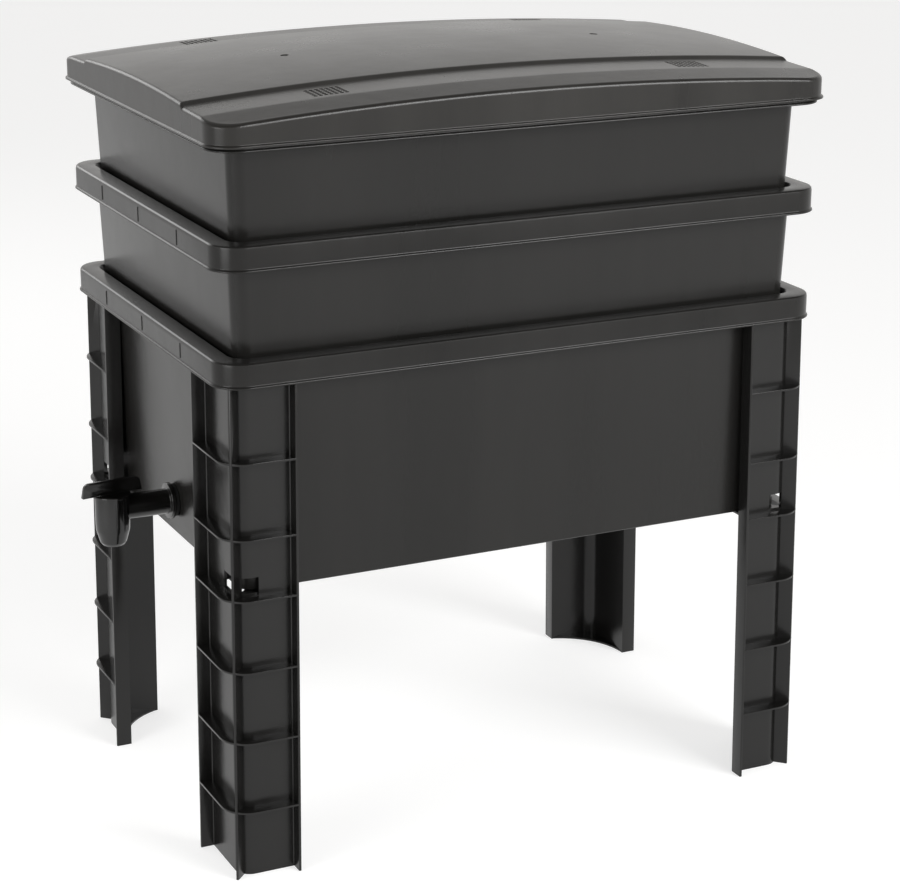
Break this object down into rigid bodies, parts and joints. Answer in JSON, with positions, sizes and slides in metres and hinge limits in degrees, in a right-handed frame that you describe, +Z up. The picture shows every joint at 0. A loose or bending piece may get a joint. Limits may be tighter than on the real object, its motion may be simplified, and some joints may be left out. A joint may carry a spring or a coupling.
{
  "type": "wormery",
  "caption": "Stacking worm composter with a domed vented lid, nested perforated trays and a collector tank with a drain tap, carried on ribbed corner legs.",
  "frame": {"origin": "on the ground, under the middle of the whole object with its tap", "axes": "+X along the bin, away from the tap; +Y across it, towards the back; +Z up"},
  "size_m": [0.6748, 0.43, 0.7205],
  "materials": {
    "bin_plastic": "satin moulded black plastic",
    "leg_plastic": "satin moulded black plastic",
    "tap_plastic": "smooth black plastic",
    "seal_rubber": "dull black rubber"
  },
  "bodies": {
    "stand": {"collector_tank": "bin_plastic", "front_left_leg": "leg_plastic", "front_right_leg": "leg_plastic", "back_left_leg": "leg_plastic", "back_right_leg": "leg_plastic", "tap_body": "tap_plastic", "tap_outer_washer": "seal_rubber", "tap_inner_washer": "seal_rubber", "tap_nut": "tap_plastic", "worm_ladder": "bin_plastic"},
    "lower_tray": {"lower_tray": "bin_plastic"},
    "upper_tray": {"upper_tray": "bin_plastic"},
    "lid": {"lid": "bin_plastic"},
    "tap_handle": {"tap_handle": "tap_plastic", "tap_o_ring": "seal_rubber"}
  },
  "joints": [
    {"name": "lower_tray_lift", "type": "slide", "parent": "stand", "child": "lower_tray", "axis": [0, 0, 1], "range_m": [0, 0.16]},
    {"name": "upper_tray_lift", "type": "slide", "parent": "lower_tray", "child": "upper_tray", "axis": [0, 0, 1], "range_m": [0, 0.16]},
    {"name": "lid_lift", "type": "slide", "parent": "upper_tray", "child": "lid", "axis": [0, 0, 1], "range_m": [0, 0.18]},
    {"name": "tap_turn", "type": "hinge", "parent": "stand", "child": "tap_handle", "pos_m": [-0.30734, -0.015, 0.3062], "axis": [0, 0, 1], "range_deg": [-7, 83]}
  ]
}
